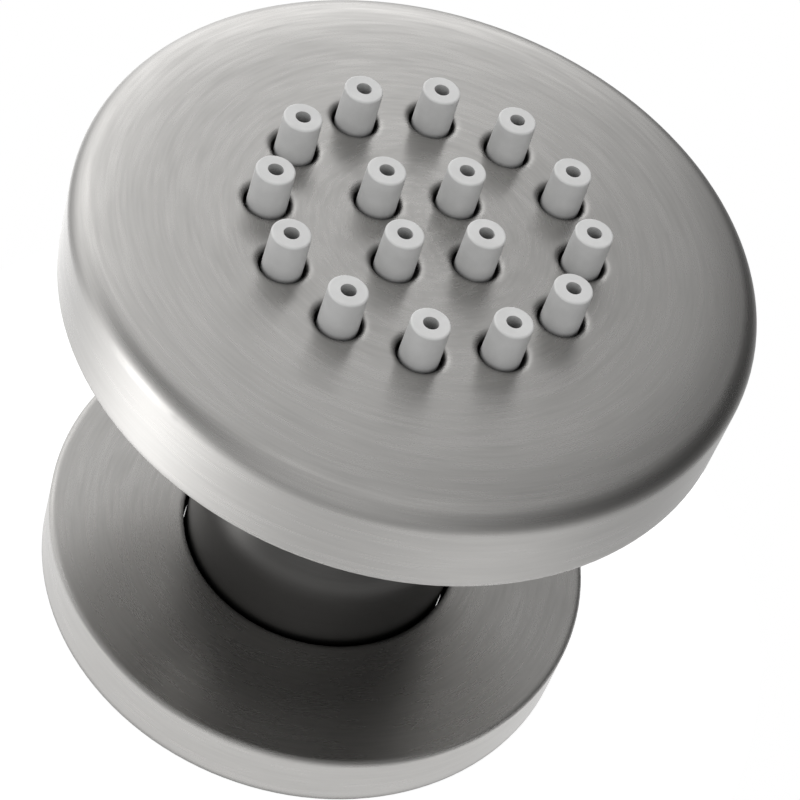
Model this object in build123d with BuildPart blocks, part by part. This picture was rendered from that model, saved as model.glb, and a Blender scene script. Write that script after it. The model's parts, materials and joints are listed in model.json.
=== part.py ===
from build123d import *
import math
import os

os.makedirs("parts", exist_ok=True)

# Shower body jet in millimetres. The wall is the plane z = 0 and the spray leaves along +Z.

# Spray head
head_diameter = 63.5
head_depth = 9.87
head_edge_radius = 2.08
face_flat_diameter = 46.0
face_fall = 0.31
face_edge_tilt = 9.0
head_back_edge = 0.3
head_wall = 2.0
face_thickness = 2.0
cover_ledge = 1.0

# Nozzles of the soft mat
outer_circle_diameter = 28.94
outer_nozzle_count = 12
inner_circle_diameter = 10.67
inner_nozzle_count = 4
nozzle_stand_out = 3.9
nozzle_base_diameter = 3.74
nozzle_tip_diameter = 3.58
nozzle_tip_edge = 0.2
nozzle_jet_diameter = 1.42
nozzle_entry_diameter = 2.2
nozzle_tip_length = 2.4
nozzle_face_gap = 0.22
face_hole_edge = 0.5
web_thickness = 1.2
web_margin = 1.6

# Plate that clamps the mat, and its screws
plate_thickness = 1.5
plate_gap = 0.5
feed_diameter = 2.6
screw_count = 4
screw_diameter = 1.9
screw_head_diameter = 3.8
screw_head_height = 1.2
screw_bite = 2.2
screw_slot_width = 0.5
screw_slot_depth = 0.6
screw_gap = 0.05
screw_rim_gap = 0.6
boss_wall = 1.2

# Back cover with its hub
cover_thickness = 2.2
cover_rim_width = 2.7
cover_rim_height = 4.2
hub_wall = 2.0
hub_fillet = 1.5
water_passage_diameter = 10.0
spanner_hole_diameter = 3.0
spanner_hole_depth = 1.2
spanner_hole_spacing = 44.0

# Ball swivel
ball_diameter = 20.0
ball_rise = 13.0
ball_crown = 1.2
seat_wall = 1.6
seat_low_angle = 12.0
seat_land = 0.8
liner_thickness = 0.9
liner_low_angle = -37.0
liner_high_angle = -6.0
collar_wall = 2.35
collar_seat_top = -0.6
collar_top = 8.0
collar_straight_bottom = -2.5
collar_flare = 1.0
collar_bottom_wall = 2.2
collar_edge_radius = 0.5
collar_flat_width = 29.5
collar_flat_height = 6.0

# Connector, from the wall outwards
connector_diameter = 28.0
connector_end_chamfer = 0.5
thread_lead_in = 1.0
thread_diameter = 20.955
thread_length = 7.6
thread_run_out = 0.4
relief_depth = 0.5
shoulder_floor = 2.4
shoulder_radius = 10.0
shoulder_rise = 5.0
shoulder_edge = 1.0
neck_diameter = 11.0
neck_fillet = 1.5
waterway_diameter = 6.5
outlet_edge = 0.4

# Inlet washer, strainer and flow regulator
washer_thickness = 2.0
washer_bore_diameter = 13.0
screen_thickness = 0.4
screen_dome_diameter = 12.4
screen_dome_height = 2.2
screen_rim_width = 2.6
regulator_height = 4.2
regulator_diameter = 12.0
regulator_wall = 1.75
regulator_floor = 1.0
regulator_core_diameter = 3.0
regulator_core_setback = 0.5
regulator_port_diameter = 1.2
regulator_port_count = 6
regulator_ring_section = 1.5

# Wall flange
flange_diameter = 56.1
flange_height = 6.46
flange_wall = 1.3
flange_edge_radius = 0.35
flange_bore_gap = 0.35
flange_bore_edge = 0.15
flange_boss_wall = 3.0
flange_boss_length = 4.4

# Rings and fits
flange_ring_section = 1.6
seat_ring_section = 1.2
chamber_ring_section = 1.5
regulator_seal_section = 1.2
groove_play = 0.1
running_fit = 0.05
thread_gap = 0.05
washer_gap = 0.2

# Radii used by several pieces
head_radius = head_diameter / 2
shell_bore_radius = head_radius - head_wall
ledge_radius = shell_bore_radius - cover_ledge
cover_radius = shell_bore_radius - thread_gap
cover_rim_bore_radius = cover_radius - cover_rim_width
connector_radius = connector_diameter / 2
thread_radius = thread_diameter / 2
relief_radius = thread_radius + relief_depth
neck_radius = neck_diameter / 2
ball_radius = ball_diameter / 2
passage_radius = water_passage_diameter / 2
hub_bore_radius = ball_radius + seat_wall
hub_radius = hub_bore_radius + hub_wall
liner_bore_radius = ball_radius + running_fit
liner_radius = liner_bore_radius + liner_thickness
collar_seat_radius = liner_radius + running_fit
collar_bore_radius = hub_radius + thread_gap
collar_radius = collar_bore_radius + collar_wall
seat_radius = hub_bore_radius - running_fit
regulator_radius = regulator_diameter / 2
pocket_radius = regulator_radius + running_fit
flange_radius = flange_diameter / 2
flange_hole_radius = connector_radius + flange_bore_gap
web_radius = (outer_circle_diameter + nozzle_base_diameter) / 2 + web_margin
plate_radius = ledge_radius - plate_gap
screw_hole_radius = screw_diameter / 2 + screw_gap
screw_circle_radius = cover_rim_bore_radius - screw_head_diameter / 2 - screw_rim_gap

# Heights above or below the centre of the ball
seat_top = math.sqrt(liner_bore_radius**2 - passage_radius**2) + seat_land
collar_lip = collar_seat_radius * math.sin(math.radians(liner_low_angle))
collar_bottom = collar_lip - collar_flare

# Heights above the wall
thread_end = thread_lead_in + thread_length
washer_seat = thread_end + thread_run_out
screen_seat = washer_seat + washer_thickness
pocket_bottom = screen_seat + screen_thickness
pocket_top = pocket_bottom + regulator_height
shoulder_top = pocket_top + shoulder_floor
ball_height = shoulder_top + ball_rise
head_back = ball_height + ball_radius + ball_crown
cover_top = head_back + cover_thickness
ledge_height = head_back + cover_rim_height
face_height = head_back + head_depth
face_underside = face_height - face_thickness
web_back = face_underside - web_thickness
plate_back = web_back - plate_thickness
hub_bottom = ball_height + collar_seat_top
hub_ceiling = ball_height + seat_top + running_fit

UPRIGHT = (Align.CENTER, Align.CENTER, Align.MIN)
HANGING = (Align.CENTER, Align.CENTER, Align.MAX)

nozzle_places = (
    PolarLocations(outer_circle_diameter / 2, outer_nozzle_count).locations
    + PolarLocations(inner_circle_diameter / 2, inner_nozzle_count).locations
)
first_screw_angle = 180 / screw_count
screw_places = PolarLocations(screw_circle_radius, screw_count, first_screw_angle).locations


def raised(places, height):
    """The same places on a plane at the given height."""
    return [Location((place.position.X, place.position.Y, height)) for place in places]


def save(piece, name):
    """Labels a finished piece and writes it as its own file."""
    piece.part.label = name
    export_step(piece.part, f"parts/{name}.step")


def o_ring(section, centre_radius, height):
    """A round-section ring about the spray axis."""
    with BuildPart() as ring:
        with BuildSketch(Plane.XZ):
            with Locations((centre_radius, height)):
                Circle(section / 2)
        revolve(axis=Axis.Z)
    return ring


# Wall flange: a shallow cup with a grooved boss around the connector
flange_ring_height = flange_height - flange_wall - flange_boss_length / 2
flange_boss_radius = flange_hole_radius + flange_boss_wall
flange_ceiling = flange_height - flange_wall

with BuildPart() as wall_flange:
    with BuildSketch(Plane.XZ):
        with BuildLine():
            Polyline(
                (flange_hole_radius, flange_height),
                (flange_radius, flange_height),
                (flange_radius, 0),
                (flange_radius - flange_wall, 0),
                (flange_radius - flange_wall, flange_ceiling),
                (flange_boss_radius, flange_ceiling),
                (flange_boss_radius, flange_ceiling - flange_boss_length),
                (flange_hole_radius, flange_ceiling - flange_boss_length),
                close=True,
            )
        make_face()
        with Locations((flange_hole_radius, flange_ring_height)):
            groove_depth = flange_ring_section + running_fit + groove_play - flange_bore_gap
            Rectangle(
                2 * groove_depth,
                flange_ring_section + 2 * groove_play,
                mode=Mode.SUBTRACT,
            )
    revolve(axis=Axis.Z)
    fillet(
        wall_flange.edges().group_by(Axis.Z)[-1].sort_by(SortBy.RADIUS)[-1],
        flange_edge_radius,
    )
    fillet(
        wall_flange.edges().group_by(Axis.Z)[-1].sort_by(SortBy.RADIUS)[0],
        flange_bore_edge,
    )
save(wall_flange, "wall_flange")

flange_ring_radius = connector_radius + running_fit + flange_ring_section / 2
flange_o_ring = o_ring(flange_ring_section, flange_ring_radius, flange_ring_height)
save(flange_o_ring, "flange_o_ring")

# Swivel connector: threaded body, barrelled shoulder, neck and ball, bored through
shoulder_centre = (connector_radius - shoulder_radius, shoulder_top - shoulder_rise)
shoulder_angle = math.degrees(math.asin(shoulder_rise / shoulder_radius))

with BuildPart() as swivel_connector:
    with BuildSketch(Plane.XZ):
        with BuildLine():
            shoulder = CenterArc(shoulder_centre, shoulder_radius, 0, shoulder_angle)
            Polyline(
                shoulder @ 1,
                (0, shoulder_top),
                (0, 0),
                (connector_radius, 0),
                shoulder @ 0,
            )
        make_face()
    revolve(axis=Axis.Z)
    fillet(swivel_connector.edges().group_by(Axis.Z)[-1], shoulder_edge)
    chamfer(swivel_connector.edges().group_by(Axis.Z)[0], connector_end_chamfer)
    with Locations((0, 0, shoulder_top)):
        Cylinder(neck_radius, ball_rise, align=UPRIGHT)
    neck_root = swivel_connector.edges().filter_by(GeomType.CIRCLE).filter_by_position(
        Axis.Z, shoulder_top, shoulder_top
    )
    fillet(neck_root.sort_by(SortBy.RADIUS)[0], neck_fillet)
    with Locations((0, 0, ball_height)):
        Sphere(ball_radius)
    with BuildSketch(Plane.XZ):
        with BuildLine():
            Polyline(
                (0, 0),
                (thread_radius + thread_lead_in, 0),
                (thread_radius, thread_lead_in),
                (thread_radius, thread_end),
                (relief_radius, thread_end),
                (relief_radius, pocket_bottom),
                (pocket_radius, pocket_bottom),
                (pocket_radius, pocket_top),
                (waterway_diameter / 2, pocket_top),
                (waterway_diameter / 2, ball_height + ball_radius),
                (0, ball_height + ball_radius),
                close=True,
            )
        make_face()
    revolve(axis=Axis.Z, mode=Mode.SUBTRACT)
    fillet(swivel_connector.edges().group_by(Axis.Z)[-1], outlet_edge)
save(swivel_connector, "swivel_connector")

# Inlet washer in the relief behind the thread
with BuildPart() as inlet_washer:
    with Locations((0, 0, washer_seat)):
        Cylinder(relief_radius - washer_gap, washer_thickness, align=UPRIGHT)
        Cylinder(
            washer_bore_diameter / 2,
            washer_thickness,
            align=UPRIGHT,
            mode=Mode.SUBTRACT,
        )
save(inlet_washer, "inlet_washer")

# Strainer: a thin dome towards the inlet, with a flat rim under the washer
screen_dome_radius = screen_dome_diameter / 2
dome_sphere_radius = (screen_dome_radius**2 + screen_dome_height**2) / (2 * screen_dome_height)
dome_centre = screen_seat - screen_dome_height + dome_sphere_radius

with BuildPart() as filter_screen:
    with Locations((0, 0, screen_seat)):
        Cylinder(screen_dome_radius + screen_rim_width, screen_thickness, align=UPRIGHT)
    with Locations((0, 0, dome_centre)):
        Sphere(dome_sphere_radius)
        Sphere(dome_sphere_radius - screen_thickness, mode=Mode.SUBTRACT)
    split(bisect_by=Plane.XY.offset(pocket_bottom), keep=Keep.BOTTOM)
save(filter_screen, "filter_screen")

# Flow regulator: a ported cup with a core, grooved for its seal
regulator_seal_height = pocket_bottom + regulator_height / 2
regulator_seal_radius = pocket_radius - running_fit - regulator_seal_section / 2
regulator_groove_radius = regulator_seal_radius - regulator_seal_section / 2 - groove_play
regulator_bore_radius = regulator_radius - regulator_wall
regulator_core_radius = regulator_core_diameter / 2
regulator_port_circle = (regulator_core_radius + regulator_bore_radius) / 2

with BuildPart() as flow_regulator:
    with Locations((0, 0, pocket_bottom)):
        Cylinder(regulator_radius, regulator_height, align=UPRIGHT)
        Cylinder(
            regulator_bore_radius,
            regulator_height - regulator_floor,
            align=UPRIGHT,
            mode=Mode.SUBTRACT,
        )
    with Locations((0, 0, pocket_top)):
        Cylinder(regulator_core_radius, regulator_height - regulator_core_setback, align=HANGING)
        with PolarLocations(regulator_port_circle, regulator_port_count):
            Cylinder(
                regulator_port_diameter / 2,
                regulator_floor,
                align=HANGING,
                mode=Mode.SUBTRACT,
            )
    with BuildSketch(Plane.XZ):
        with Locations((regulator_radius, regulator_seal_height)):
            Rectangle(
                2 * (regulator_radius - regulator_groove_radius),
                regulator_seal_section + 2 * groove_play,
            )
    revolve(axis=Axis.Z, mode=Mode.SUBTRACT)
save(flow_regulator, "flow_regulator")

regulator_seal = o_ring(regulator_seal_section, regulator_seal_radius, regulator_seal_height)
save(regulator_seal, "regulator_seal")

ring_centre_radius = regulator_core_radius + running_fit + regulator_ring_section / 2
ring_height = pocket_top - regulator_floor - running_fit - regulator_ring_section / 2
regulator_ring = o_ring(regulator_ring_section, ring_centre_radius, ring_height)
save(regulator_ring, "regulator_ring")

# Ball liner: a zone of a sphere that slips between the ball and the collar nut
liner_span = liner_high_angle - liner_low_angle

with BuildPart() as ball_liner:
    with BuildSketch(Plane.XZ):
        with BuildLine():
            inside = CenterArc((0, ball_height), liner_bore_radius, liner_low_angle, liner_span)
            outside = CenterArc((0, ball_height), liner_radius, liner_low_angle, liner_span)
            Line(inside @ 0, outside @ 0)
            Line(inside @ 1, outside @ 1)
        make_face()
    revolve(axis=Axis.Z)
save(ball_liner, "ball_liner")

# Ball seat: a ring with a spherical face, in the hub in front of the ball
seat_high_angle = math.degrees(math.acos(passage_radius / liner_bore_radius))
seat_ring_height = ball_height + (seat_top + ball_radius / 2) / 3
seat_ring_radius = hub_bore_radius - running_fit - seat_ring_section / 2
seat_groove_radius = seat_ring_radius - seat_ring_section / 2 - groove_play

with BuildPart() as ball_seal:
    with BuildSketch(Plane.XZ):
        with BuildLine():
            cup = CenterArc(
                (0, ball_height),
                liner_bore_radius,
                seat_low_angle,
                seat_high_angle - seat_low_angle,
            )
            low_edge = cup @ 0
            Polyline(
                cup @ 1,
                (passage_radius, ball_height + seat_top),
                (seat_radius, ball_height + seat_top),
                (seat_radius, low_edge.Y),
                low_edge,
            )
        make_face()
        with Locations((seat_radius, seat_ring_height)):
            Rectangle(
                2 * (seat_radius - seat_groove_radius),
                seat_ring_section + 2 * groove_play,
                mode=Mode.SUBTRACT,
            )
    revolve(axis=Axis.Z)
save(ball_seal, "ball_seal")

seat_o_ring = o_ring(seat_ring_section, seat_ring_radius, seat_ring_height)
save(seat_o_ring, "seat_o_ring")

# Collar nut: spherical seat below, bore for the hub above, two wrench flats outside
seat_start = math.degrees(math.asin(collar_seat_top / collar_seat_radius))

with BuildPart() as collar_nut:
    with BuildSketch(Plane.XZ):
        with BuildLine():
            seat = CenterArc(
                (0, ball_height),
                collar_seat_radius,
                liner_low_angle,
                seat_start - liner_low_angle,
            )
            lip = seat @ 0
            mouth_radius = lip.X + collar_flare
            Polyline(
                seat @ 1,
                (collar_bore_radius, hub_bottom),
                (collar_bore_radius, ball_height + collar_top),
                (collar_radius, ball_height + collar_top),
                (collar_radius, ball_height + collar_straight_bottom),
                (mouth_radius + collar_bottom_wall, ball_height + collar_bottom),
                (mouth_radius, ball_height + collar_bottom),
                lip,
            )
        make_face()
    revolve(axis=Axis.Z)
    fillet(
        collar_nut.edges().group_by(Axis.Z)[-1].sort_by(SortBy.RADIUS)[-1],
        collar_edge_radius,
    )
    fillet(
        collar_nut.edges().group_by(Axis.Z)[0].sort_by(SortBy.RADIUS)[-1],
        collar_edge_radius,
    )
    with Locations((0, 0, ball_height + collar_top)):
        with GridLocations(collar_flat_width + collar_radius, 0, 2, 1):
            Box(
                collar_radius,
                2 * collar_radius,
                collar_flat_height,
                align=HANGING,
                mode=Mode.SUBTRACT,
            )
save(collar_nut, "collar_nut")

# Back cover: plate, hub for the ball and a rim grooved for the chamber seal
chamber_ring_radius = shell_bore_radius - running_fit - chamber_ring_section / 2
chamber_groove_radius = chamber_ring_radius - chamber_ring_section / 2 - groove_play
chamber_ring_height = ledge_height - cover_rim_height / 2 + chamber_ring_section / 3

with BuildPart() as back_cover:
    with BuildSketch(Plane.XZ):
        with BuildLine():
            Polyline(
                (passage_radius, cover_top),
                (cover_rim_bore_radius, cover_top),
                (cover_rim_bore_radius, ledge_height),
                (cover_radius, ledge_height),
                (cover_radius, head_back),
                (hub_radius, head_back),
                (hub_radius, hub_bottom),
                (hub_bore_radius, hub_bottom),
                (hub_bore_radius, hub_ceiling),
                (passage_radius, hub_ceiling),
                close=True,
            )
        make_face()
        with Locations((cover_radius, chamber_ring_height)):
            Rectangle(
                2 * (cover_radius - chamber_groove_radius),
                chamber_ring_section + 2 * groove_play,
                mode=Mode.SUBTRACT,
            )
    revolve(axis=Axis.Z)
    hub_root = back_cover.edges().filter_by_position(Axis.Z, head_back, head_back)
    fillet(hub_root.sort_by(SortBy.RADIUS)[0], hub_fillet)
    with Locations((0, 0, head_back)):
        with PolarLocations(spanner_hole_spacing / 2, 2):
            Cylinder(
                spanner_hole_diameter / 2,
                spanner_hole_depth,
                align=UPRIGHT,
                mode=Mode.SUBTRACT,
            )
save(back_cover, "back_cover")

chamber_o_ring = o_ring(chamber_ring_section, chamber_ring_radius, chamber_ring_height)
save(chamber_o_ring, "chamber_o_ring")

# Face shell: the visible disc, falling off gently to its edge, and the side wall
face_hole_radius = nozzle_base_diameter / 2 + nozzle_face_gap
face_flat_radius = face_flat_diameter / 2
edge_centre = (head_radius - head_edge_radius, face_height - face_fall - head_edge_radius)
boss_radius = screw_hole_radius + boss_wall

with BuildPart() as face_shell:
    with BuildSketch(Plane.XZ):
        with BuildLine():
            edge = CenterArc(edge_centre, head_edge_radius, 0, 90 - face_edge_tilt)
            crown = Spline(
                edge @ 1,
                (face_flat_radius, face_height),
                tangents=(edge % 1, (-1, 0)),
            )
            Polyline(
                edge @ 0,
                (head_radius, head_back),
                (shell_bore_radius, head_back),
                (shell_bore_radius, ledge_height),
                (ledge_radius, ledge_height),
                (ledge_radius, face_underside),
                (0, face_underside),
                (0, face_height),
                crown @ 1,
            )
        make_face()
    revolve(axis=Axis.Z)
    chamfer(
        face_shell.edges().group_by(Axis.Z)[0].sort_by(SortBy.RADIUS)[-1],
        head_back_edge,
    )
    with Locations(raised(screw_places, face_underside)):
        Cylinder(boss_radius, web_thickness, align=HANGING)
    with Locations(raised(screw_places, web_back)):
        Cylinder(screw_hole_radius, screw_bite, align=UPRIGHT, mode=Mode.SUBTRACT)
    with Locations(raised(nozzle_places, face_height)):
        Cylinder(face_hole_radius, face_thickness, align=HANGING, mode=Mode.SUBTRACT)
    hole_edges = face_shell.edges().filter_by(GeomType.CIRCLE).filter_by_position(
        Axis.Z, face_height, face_height
    )
    fillet(hole_edges.group_by(SortBy.RADIUS)[0], face_hole_edge)
save(face_shell, "face_shell")

# Nozzle mat: one soft web behind the face with every nozzle standing through it
nozzle_height = face_thickness + nozzle_stand_out
nozzle_tip_height = face_height + nozzle_stand_out

with BuildPart() as nozzle_mat:
    with Locations((0, 0, web_back)):
        Cylinder(web_radius, web_thickness, align=UPRIGHT)
    with Locations(raised(nozzle_places, face_underside)):
        Cone(nozzle_base_diameter / 2, nozzle_tip_diameter / 2, nozzle_height, align=UPRIGHT)
    fillet(nozzle_mat.edges().group_by(Axis.Z)[-1], nozzle_tip_edge)
    with Locations(raised(nozzle_places, nozzle_tip_height)):
        Cylinder(nozzle_jet_diameter / 2, nozzle_height, align=HANGING, mode=Mode.SUBTRACT)
    with Locations(raised(nozzle_places, web_back)):
        Cylinder(
            nozzle_entry_diameter / 2,
            web_thickness + nozzle_height - nozzle_tip_length,
            align=UPRIGHT,
            mode=Mode.SUBTRACT,
        )
save(nozzle_mat, "nozzle_mat")

# Backing plate: clamps the mat to the face and feeds every nozzle
with BuildPart() as backing_plate:
    with Locations((0, 0, plate_back)):
        Cylinder(plate_radius, plate_thickness, align=UPRIGHT)
    with Locations(raised(nozzle_places, plate_back)):
        Cylinder(feed_diameter / 2, plate_thickness, align=UPRIGHT, mode=Mode.SUBTRACT)
    with Locations(raised(screw_places, plate_back)):
        Cylinder(screw_hole_radius, plate_thickness, align=UPRIGHT, mode=Mode.SUBTRACT)
save(backing_plate, "backing_plate")

# Plate screws: slotted heads behind the plate, shanks into the face shell's bosses
shank_length = plate_thickness + screw_bite - screw_gap

with BuildPart() as plate_screws:
    with Locations(raised(screw_places, plate_back)):
        Cylinder(screw_diameter / 2, shank_length, align=UPRIGHT)
        Cylinder(screw_head_diameter / 2, screw_head_height, align=HANGING)
    with Locations(raised(screw_places, plate_back - screw_head_height)):
        Box(
            screw_head_diameter,
            screw_slot_width,
            screw_slot_depth,
            align=UPRIGHT,
            mode=Mode.SUBTRACT,
        )
save(plate_screws, "plate_screws")
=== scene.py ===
import json
import math

import bpy
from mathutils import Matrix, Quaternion, Vector


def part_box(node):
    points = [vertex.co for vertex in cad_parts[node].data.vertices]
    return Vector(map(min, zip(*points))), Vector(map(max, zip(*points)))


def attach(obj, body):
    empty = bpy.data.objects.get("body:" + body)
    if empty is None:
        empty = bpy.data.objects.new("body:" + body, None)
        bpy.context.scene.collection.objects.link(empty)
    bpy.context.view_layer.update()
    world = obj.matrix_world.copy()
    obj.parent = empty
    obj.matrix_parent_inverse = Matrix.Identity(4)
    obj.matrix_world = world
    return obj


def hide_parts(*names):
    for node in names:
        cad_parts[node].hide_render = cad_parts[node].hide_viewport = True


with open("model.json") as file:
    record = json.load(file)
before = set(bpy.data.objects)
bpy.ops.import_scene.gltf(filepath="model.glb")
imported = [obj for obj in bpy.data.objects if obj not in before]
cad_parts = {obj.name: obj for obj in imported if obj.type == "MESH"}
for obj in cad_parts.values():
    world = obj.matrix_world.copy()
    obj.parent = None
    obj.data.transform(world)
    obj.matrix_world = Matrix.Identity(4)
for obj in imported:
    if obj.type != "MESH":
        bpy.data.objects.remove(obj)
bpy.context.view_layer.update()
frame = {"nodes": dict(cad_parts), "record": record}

scene = bpy.context.scene
scene.view_settings.view_transform = "Standard"
MM = 0.001
SHADER_SAMPLES = 4


# Shader helpers. Every coordinate is the object's own, in metres, so a finish moves with its piece.
def material(name):
    mat = bpy.data.materials.new(name)
    mat.use_nodes = True
    return mat, mat.node_tree, mat.node_tree.nodes["Principled BSDF"]


def add(tree, kind, inputs=None, **settings):
    """A new node. An input is a plain value, or the socket of another node to link it to."""
    node = tree.nodes.new(kind)
    for key, value in settings.items():
        setattr(node, key, value)
    for key, value in (inputs or {}).items():
        if isinstance(value, bpy.types.NodeSocket):
            tree.links.new(value, node.inputs[key])
        else:
            node.inputs[key].default_value = value
    return node


def math_node(tree, operation, a, b=0.0):
    return add(tree, "ShaderNodeMath", {0: a, 1: b}, operation=operation).outputs[0]


def vector_node(tree, operation, inputs, output="Vector"):
    return add(tree, "ShaderNodeVectorMath", inputs, operation=operation).outputs[output]


def coordinate(tree, kind="Object"):
    return add(tree, "ShaderNodeTexCoord").outputs[kind]


def noise(tree, vector, scale=1.0, detail=2.0, roughness=0.5):
    inputs = {"Vector": vector, "Scale": scale, "Detail": detail, "Roughness": roughness}
    return add(tree, "ShaderNodeTexNoise", inputs).outputs["Fac"]


def spread(tree, value, low, high, start=0.3, end=0.7):
    """Maps start to end onto low to high. The defaults are the usual range of noise."""
    ends = {"From Min": start, "From Max": end, "To Min": low, "To Max": high}
    return add(tree, "ShaderNodeMapRange", {"Value": value, **ends}).outputs["Result"]


def tint(tree, value, dark, light):
    """A colour between two ends, each of them a colour or a socket."""
    ends = [end if isinstance(end, bpy.types.NodeSocket) else (*end, 1) for end in (dark, light)]
    inputs = {"Factor": value, 6: ends[0], 7: ends[1]}
    return add(tree, "ShaderNodeMix", inputs, data_type="RGBA").outputs[2]


def bump(tree, height, distance, strength, normal=None):
    inputs = {"Height": height, "Distance": distance, "Strength": strength}
    if normal:
        inputs["Normal"] = normal
    return add(tree, "ShaderNodeBump", inputs).outputs["Normal"]


def open_sky(tree, reach):
    """How much of the half space over a point is clear of other surfaces within reach."""
    inputs = {"Distance": reach}
    return add(tree, "ShaderNodeAmbientOcclusion", inputs, samples=SHADER_SAMPLES).outputs["AO"]


# Turned and brushed metal, with painted shade where other surfaces come close
FINE_SHARE, SIDE_CONTRAST = 0.6, 0.45
BROAD_PITCHES, RIPPLE_PITCHES, RIPPLE_STRENGTH = 4, 2, 0.35
METAL_REACH, METAL_PAINTED_SHADE, EDGE_RADIUS = 1.0 * MM, (0.02, 0.02, 0.02), 0.8 * MM
QUARTER_TURN = 0.25


def round_streaks(tree, pitch, turns):
    """Noise drawn out along circles about Z: pitch across the streaks, turns cells round a circle."""
    place = coordinate(tree)
    level = vector_node(tree, "MULTIPLY", {0: place, 1: (1, 1, 0)})
    radius = vector_node(tree, "LENGTH", {0: level}, "Value")
    around = vector_node(tree, "NORMALIZE", {0: level})
    around = vector_node(tree, "SCALE", {0: around, "Scale": turns / math.tau})
    height = add(tree, "ShaderNodeSeparateXYZ", {0: place}).outputs["Z"]
    across = math_node(tree, "MULTIPLY", math_node(tree, "SUBTRACT", radius, height), 1 / pitch)
    split = add(tree, "ShaderNodeSeparateXYZ", {0: around}).outputs
    return add(tree, "ShaderNodeCombineXYZ", {"X": split["X"], "Y": split["Y"], "Z": across}).outputs[0]


def brush_marks(tree, pitch, turns):
    """Fine and broad streaks about 0.5, which show less on a side wall than on a flat face."""
    fine = noise(tree, round_streaks(tree, pitch, turns))
    broad = noise(tree, round_streaks(tree, BROAD_PITCHES * pitch, turns))
    fine = math_node(tree, "MULTIPLY", fine, FINE_SHARE)
    broad = math_node(tree, "MULTIPLY", broad, 1 - FINE_SHARE)
    streaks = math_node(tree, "ADD", fine, broad)
    upright = add(tree, "ShaderNodeSeparateXYZ", {0: coordinate(tree, "Normal")}).outputs["Z"]
    contrast = spread(tree, math_node(tree, "ABSOLUTE", upright), SIDE_CONTRAST, 1.0, 0, 1)
    marks = math_node(tree, "MULTIPLY", math_node(tree, "SUBTRACT", streaks, 0.5), contrast)
    return math_node(tree, "ADD", marks, 0.5)


def turned_metal(name, dark, light, rough, anisotropic, pitch, turns, depth):
    mat, tree, bsdf = material(name)
    marks = brush_marks(tree, pitch, turns)
    plate = tint(tree, spread(tree, marks, 0, 1), dark, light)
    # Painted shade: the plate colour goes dark where other surfaces are within reach, beside the
    # nozzles and in gaps
    painted_shade_plate = tint(tree, open_sky(tree, METAL_REACH), METAL_PAINTED_SHADE, plate)
    tree.links.new(painted_shade_plate, bsdf.inputs["Base Color"])
    tree.links.new(spread(tree, marks, rough[1], rough[0]), bsdf.inputs["Roughness"])
    ripple = noise(tree, round_streaks(tree, RIPPLE_PITCHES * pitch, turns), detail=1.0, roughness=0.4)
    soft_edges = add(tree, "ShaderNodeBevel", {"Radius": EDGE_RADIUS}, samples=SHADER_SAMPLES)
    grain = bump(tree, ripple, depth, RIPPLE_STRENGTH, soft_edges.outputs["Normal"])
    tree.links.new(grain, bsdf.inputs["Normal"])
    tangent = add(tree, "ShaderNodeTangent", direction_type="RADIAL", axis="Z").outputs[0]
    tree.links.new(tangent, bsdf.inputs["Tangent"])
    bsdf.inputs["Metallic"].default_value = 1.0
    bsdf.inputs["Anisotropic"].default_value = anisotropic
    bsdf.inputs["Anisotropic Rotation"].default_value = QUARTER_TURN
    return mat


# Moulded rubber and plastic, with painted shade in its bores and gaps
CLOUD_GRAINS, GRAIN_STRENGTH = 14, 0.5
MOULDED_REACH, MOULDED_PAINTED_SHADE = 3 * MM, (0.01, 0.01, 0.01)
SHADED_BELOW, CLEAR_ABOVE = 0.03, 0.38


def moulded(name, dark, light, rough, grain, depth, ior=1.45):
    mat, tree, bsdf = material(name)
    place = coordinate(tree)
    fine = noise(tree, place, 1 / grain, detail=3.0, roughness=0.55)
    cloud = noise(tree, place, 1 / (CLOUD_GRAINS * grain))
    body = tint(tree, spread(tree, cloud, 0, 1), dark, light)
    # Painted shade: the colour goes dark where bore walls and gaps close over a point
    clear = spread(tree, open_sky(tree, MOULDED_REACH), 0, 1, SHADED_BELOW, CLEAR_ABOVE)
    tree.links.new(tint(tree, clear, MOULDED_PAINTED_SHADE, body), bsdf.inputs["Base Color"])
    tree.links.new(spread(tree, fine, rough[0], rough[1]), bsdf.inputs["Roughness"])
    tree.links.new(bump(tree, fine, depth, GRAIN_STRENGTH), bsdf.inputs["Normal"])
    bsdf.inputs["IOR"].default_value = ior
    return mat


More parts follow.
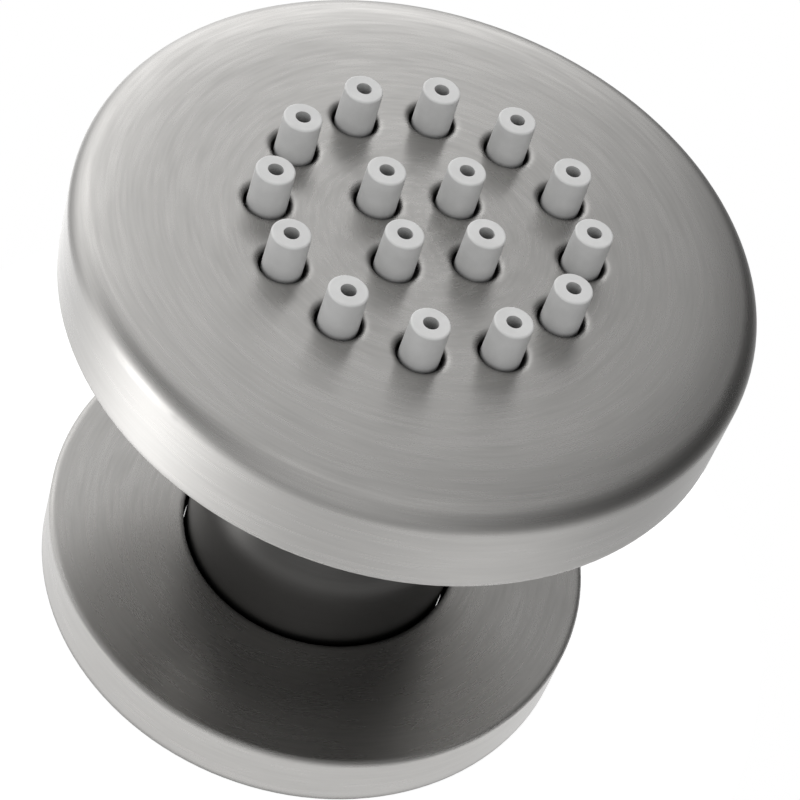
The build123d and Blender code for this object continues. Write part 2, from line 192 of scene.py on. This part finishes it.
finishes = {
    "brushed_nickel": turned_metal(
        "brushed_nickel",
        dark=(0.405, 0.398, 0.387),
        light=(0.495, 0.486, 0.473),
        rough=(0.25, 0.31),
        anisotropic=0.65,
        pitch=0.4 * MM,
        turns=24,
        depth=0.0015 * MM,
    ),
    # satin_nickel is darker than the brushed nickel; its tone is partly painted shade, set for the
    # pieces that sit under the head
    "satin_nickel": turned_metal(
        "satin_nickel",
        dark=(0.2, 0.196, 0.19),
        light=(0.23, 0.226, 0.22),
        rough=(0.3, 0.34),
        anisotropic=0.6,
        pitch=0.4 * MM,
        turns=8,
        depth=0.004 * MM,
    ),
    "nozzle_silicone": moulded(
        "nozzle_silicone",
        dark=(0.69, 0.69, 0.685),
        light=(0.75, 0.75, 0.745),
        rough=(0.5, 0.62),
        grain=0.12 * MM,
        depth=0.006 * MM,
        ior=1.41,
    ),
    "black_rubber": moulded(
        "black_rubber",
        dark=(0.012, 0.012, 0.012),
        light=(0.03, 0.03, 0.03),
        rough=(0.42, 0.58),
        grain=0.15 * MM,
        depth=0.006 * MM,
        ior=1.5,
    ),
    "white_plastic": moulded(
        "white_plastic",
        dark=(0.76, 0.76, 0.74),
        light=(0.83, 0.83, 0.81),
        rough=(0.34, 0.44),
        grain=0.2 * MM,
        depth=0.004 * MM,
    ),
    "grey_plastic": moulded(
        "grey_plastic",
        dark=(0.27, 0.28, 0.29),
        light=(0.33, 0.34, 0.35),
        rough=(0.4, 0.52),
        grain=0.2 * MM,
        depth=0.005 * MM,
    ),
    "steel": turned_metal(
        "steel",
        dark=(0.52, 0.52, 0.52),
        light=(0.62, 0.62, 0.62),
        rough=(0.24, 0.36),
        anisotropic=0.3,
        pitch=0.1 * MM,
        turns=12,
        depth=0.004 * MM,
    ),
}

for part in frame["record"]["subparts"]:
    slots = frame["nodes"][part["node"]].data.materials
    slots.clear()
    slots.append(finishes[part["material_slot"]])

# The connector and its thread get a darker copy of the satin, painted shade for the shade under the
# head
shaded_connector_satin = turned_metal(
    "dark_satin",
    dark=(0.1, 0.098, 0.095),
    light=(0.112, 0.11, 0.107),
    rough=(0.32, 0.35),
    anisotropic=0.6,
    pitch=0.4 * MM,
    turns=8,
    depth=0.004 * MM,
)
frame["nodes"]["swivel_connector"].data.materials[0] = shaded_connector_satin


# Pieces that only the picture carries: the pipe thread and the strainer's woven wire, in millimetres
def mesh_piece(name, points, faces, finish, sharp):
    """A smooth mesh that rides on the connector. Edges that turn more than sharp degrees stay sharp."""
    mesh = bpy.data.meshes.new(name)
    mesh.from_pydata([Vector(p) * MM for p in points], [], faces)
    mesh.polygons.foreach_set("use_smooth", [True] * len(mesh.polygons))
    mesh.set_sharp_from_angle(angle=math.radians(sharp))
    piece = bpy.data.objects.new(name, mesh)
    scene.collection.objects.link(piece)
    mesh.materials.append(finish)
    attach(piece, "connector")
    return piece


def ring(radii, z):
    """Points once round the Z axis at one height, evenly spaced, each at its own radius."""
    angles = [math.tau * k / len(radii) for k in range(len(radii))]
    return [(r * math.cos(angle), r * math.sin(angle), z) for r, angle in zip(radii, angles)]


def hoop_faces(rows, around):
    """Quads of a closed tube made of rings of points; the last ring joins the first."""
    return [
        (
            row * around + k,
            row * around + (k + 1) % around,
            (row + 1) % rows * around + (k + 1) % around,
            (row + 1) % rows * around + k,
        )
        for row in range(rows)
        for k in range(around)
    ]


# Half-inch pipe thread, in the bore that the inlet mount gives; its back lies just inside the wall
inlet = next(mount for mount in frame["record"]["mounts"] if mount["name"] == "inlet_thread")
THREAD_LOW = inlet["pos_m"][2] / MM
THREAD_HIGH = THREAD_LOW + inlet["dims"]["length_mm"]
THREAD_SUNK = 0.01
THREAD_BACK = inlet["dims"]["r_mm"] + THREAD_SUNK
THREAD_MAJOR, THREAD_MINOR, THREAD_PITCH = 10.46, 9.316, 1.814
FLANK_SLOPE, INNER_END_SLOPE = 1.34, 1.4
THREAD_ROWS, THREAD_AROUND = 96, 120


def thread_radius(turn, z):
    """Flanks with flat crests and roots, cut back by a bevel at both ends."""
    wave = abs(2 * (((z - THREAD_LOW) / THREAD_PITCH - turn) % 1) - 1)
    depth = min(1, max(0, 0.5 + FLANK_SLOPE * (wave - 0.5)))
    radius = THREAD_MINOR + (THREAD_MAJOR - THREAD_MINOR) * depth
    bevel = THREAD_MAJOR - min(z - THREAD_LOW, INNER_END_SLOPE * (THREAD_HIGH - z))
    return max(radius, bevel)


points = ring([THREAD_BACK] * THREAD_AROUND, THREAD_HIGH)
for row in range(THREAD_ROWS):
    z = THREAD_HIGH - (THREAD_HIGH - THREAD_LOW) * row / (THREAD_ROWS - 1)
    points += ring([thread_radius(k / THREAD_AROUND, z) for k in range(THREAD_AROUND)], z)
points += ring([THREAD_BACK] * THREAD_AROUND, THREAD_LOW)
faces = hoop_faces(THREAD_ROWS + 2, THREAD_AROUND)
mesh_piece("pipe_thread", points, faces, shaded_connector_satin, sharp=40)

# Strainer: a flat rim on its seat, and a dome of woven wire towards the inlet, where the plain one is
screen_low, screen_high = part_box("filter_screen")
RIM_INNER, RIM_HEIGHT, RIM_BEVEL, RIM_AROUND = 5.95, 0.4, 0.08, 96
RIM_OUTER = screen_high[0] / MM
SCREEN_SEAT = screen_high[2] / MM - RIM_HEIGHT
DOME_RADIUS = 9.836
DOME_CENTRE = screen_low[2] / MM + DOME_RADIUS
MESH_EDGE, MESH_DEPTH = 6.15, 0.2
WIRE_RADIUS, WIRE_STEP, WIRE_WAVE = 0.095, 0.75, 0.1
WIRE_SIDES, POINTS_PER_STEP = 6, 5


def woven_wire(place, along_x, parity):
    """Points and faces of one wire that runs over and under the wires across it."""
    half = math.sqrt(MESH_EDGE**2 - place**2)
    count = round(2 * half / (WIRE_STEP / POINTS_PER_STEP))
    heading = Vector((1, 0, 0)) if along_x else Vector((0, 1, 0))
    points, faces = [], []
    for k in range(count + 1):
        run = -half + 2 * half * k / count
        lift = WIRE_WAVE * parity * math.cos(math.pi * run / WIRE_STEP)
        spot = Vector((run, place, 0)) if along_x else Vector((place, run, 0))
        depth = math.sqrt(DOME_RADIUS**2 - run**2 - place**2)
        normal = Vector((spot.x, spot.y, -depth)).normalized()
        side = heading.cross(normal).normalized()
        centre = Vector((0, 0, DOME_CENTRE)) + normal * (DOME_RADIUS - MESH_DEPTH + lift)
        for j in range(WIRE_SIDES):
            turn = math.tau * j / WIRE_SIDES
            points.append(centre + WIRE_RADIUS * (math.cos(turn) * normal + math.sin(turn) * side))
    for k in range(count):
        first, second = WIRE_SIDES * k, WIRE_SIDES * (k + 1)
        for j in range(WIRE_SIDES):
            nxt = (j + 1) % WIRE_SIDES
            faces.append((first + j, first + nxt, second + nxt, second + j))
    faces.append(tuple(range(WIRE_SIDES - 1, -1, -1)))
    faces.append(tuple(range(WIRE_SIDES * count, WIRE_SIDES * (count + 1))))
    return points, faces


rim = [
    (RIM_INNER, RIM_BEVEL),
    (RIM_INNER + RIM_BEVEL, 0),
    (RIM_OUTER - RIM_BEVEL, 0),
    (RIM_OUTER, RIM_BEVEL),
    (RIM_OUTER, RIM_HEIGHT - RIM_BEVEL),
    (RIM_OUTER - RIM_BEVEL, RIM_HEIGHT),
    (RIM_INNER + RIM_BEVEL, RIM_HEIGHT),
    (RIM_INNER, RIM_HEIGHT - RIM_BEVEL),
]
points = []
for radius, rise in rim:
    points += ring([radius] * RIM_AROUND, SCREEN_SEAT + rise)
faces = hoop_faces(len(rim), RIM_AROUND)
wires = int(MESH_EDGE / WIRE_STEP)
for k in range(-wires, wires + 1):
    for along_x in (True, False):
        parity = (-1) ** k if along_x else -((-1) ** k)
        wire_points, wire_faces = woven_wire(k * WIRE_STEP, along_x, parity)
        faces += [tuple(i + len(points) for i in face) for face in wire_faces]
        points += wire_points
strainer = mesh_piece("woven_strainer", points, faces, finishes["steel"], sharp=50)
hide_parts("filter_screen")


# Stage: a small round white table in a white room, dimmer under the part so that its shadow shows
FLOOR_RADIUS, SHADOW_RADIUS, FLOOR_DROP = 50 * MM, 30 * MM, 0.2 * MM
FLOOR_GREY, SHADOW_WHITE, ROOM_LIGHT = (0.5, 0.5, 0.5, 1), 0.8, 0.8


def stage_material(name):
    """A material with no shader yet, and the socket that its shader goes to."""
    mat = bpy.data.materials.new(name)
    mat.use_nodes = True
    tree = mat.node_tree
    tree.nodes.remove(tree.nodes["Principled BSDF"])
    return mat, tree, tree.nodes["Material Output"].inputs["Surface"]


def sees_white(tree):
    """1 for the camera and for mirror and glass rays, which see the stage's own white, and else 0."""
    path = add(tree, "ShaderNodeLightPath").outputs
    seen = math_node(tree, "MAXIMUM", path["Is Camera Ray"], path["Is Glossy Ray"])
    return math_node(tree, "MAXIMUM", seen, path["Is Transmission Ray"])


bpy.ops.mesh.primitive_circle_add(
    vertices=128, radius=FLOOR_RADIUS, fill_type="NGON", location=(0, 0, -FLOOR_DROP)
)
floor = bpy.context.object
floor.name = "floor"
paper, tree, surface = stage_material("floor_white")
matt = add(tree, "ShaderNodeBsdfDiffuse", {"Color": FLOOR_GREY}).outputs[0]
radius = vector_node(tree, "LENGTH", {0: coordinate(tree)}, "Value")
white = spread(tree, radius, SHADOW_WHITE, 1.0, SHADOW_RADIUS, FLOOR_RADIUS)
white = math_node(tree, "MULTIPLY", sees_white(tree), white)
glow = add(tree, "ShaderNodeEmission", {"Strength": white}).outputs[0]
tree.links.new(add(tree, "ShaderNodeAddShader", {0: matt, 1: glow}).outputs[0], surface)
floor.data.materials.append(paper)

world = bpy.data.worlds.new("room")
scene.world = world
world.use_nodes = True
tree = world.node_tree
background = tree.nodes["Background"]
background.inputs["Color"].default_value = (1, 1, 1, 1)
tree.links.new(spread(tree, sees_white(tree), ROOM_LIGHT, 1.0, 0, 1), background.inputs["Strength"])


def toward(azimuth, elevation):
    a, e = math.radians(azimuth), math.radians(elevation)
    return Vector((math.cos(a) * math.cos(e), math.sin(a) * math.cos(e), math.sin(e)))


# Soft light of the studio: azimuth and elevation of each glow, how narrow it is, and its strength
GLOWS = {
    "back_left": (132, 5, 14, 1.2),
    "back_left_high": (145, 36, 10, 1.4),
    "back_left_low": (132, -40, 14, 1.3),
    "back": (112, 26, 40, 1.5),
    "left": (180, 15, 10, 1.2),
    "front_left": (222, 0, 14, 0.7),
    "front_left_spot": (228, -24, 60, 2.5),
    "front_left_low": (222, -35, 12, 1.3),
    "left_low": (215, -45, 6, 0.6),
    "front": (288, 20, 3, 0.65),
    "right_low": (345, -45, 10, 0.45),
    "back_low": (80, -38, 8, 0.3),
    "top": (0, 90, 6, 0.75),
    "under": (0, -90, 6, 1.4),
    "room": (0, -90, 1.5, 0.35),
}
TENT_RADIUS = 2

bpy.ops.mesh.primitive_uv_sphere_add(segments=32, ring_count=16, radius=TENT_RADIUS)
tent = bpy.context.object
tent.name = "light_tent"
shade, tree, surface = stage_material("light_tent")
outward = vector_node(tree, "NORMALIZE", {0: coordinate(tree)})
total = 0.0
for azimuth, elevation, narrow, strength in GLOWS.values():
    facing = vector_node(tree, "DOT_PRODUCT", {0: outward, 1: toward(azimuth, elevation)}, "Value")
    aside = math_node(tree, "MULTIPLY", math_node(tree, "SUBTRACT", facing, 1), narrow)
    fall = math_node(tree, "EXPONENT", aside)
    total = math_node(tree, "ADD", math_node(tree, "MULTIPLY", fall, strength), total)
tree.links.new(add(tree, "ShaderNodeEmission", {"Strength": total}).outputs[0], surface)
tent.data.materials.append(shade)
shade.cycles.emission_sampling = "NONE"
tent.visible_camera = False

# A lamp from the front right for the matt pieces, in metres and watts
FILL_WAY, FILL_DISTANCE, FILL_SIZE, FILL_POWER = toward(310, 60), 0.8, 0.6, 1.2

lamp = bpy.data.lights.new("fill", "AREA")
lamp.shape = "DISK"
lamp.size = FILL_SIZE
lamp.energy = FILL_POWER
fill = bpy.data.objects.new("fill", lamp)
fill.location = FILL_DISTANCE * FILL_WAY
fill.rotation_euler = FILL_WAY.to_track_quat("Z", "Y").to_euler()
fill.visible_glossy = False
scene.collection.objects.link(fill)

# Camera where the photograph was taken from, in degrees and metres, and its lens in millimetres
CAMERA_AZIMUTH, CAMERA_ELEVATION, CAMERA_ROLL = -72.93, 48.4, 20.28
CAMERA_AIM, CAMERA_DISTANCE = Vector((3.0, 0.51, 30)) * MM, 231.9 * MM
FOCAL_LENGTH, SENSOR_WIDTH = 108.65, 36

lens = bpy.data.cameras.new("camera")
lens.lens = FOCAL_LENGTH
lens.sensor_width = SENSOR_WIDTH
lens.clip_start = 10 * MM
camera = bpy.data.objects.new("camera", lens)
back = toward(CAMERA_AZIMUTH, CAMERA_ELEVATION)
camera.location = CAMERA_AIM + CAMERA_DISTANCE * back
level = back.to_track_quat("Z", "Y")
camera.rotation_euler = (level @ Quaternion((0, 0, 1), math.radians(CAMERA_ROLL))).to_euler()
scene.collection.objects.link(camera)
scene.camera = camera
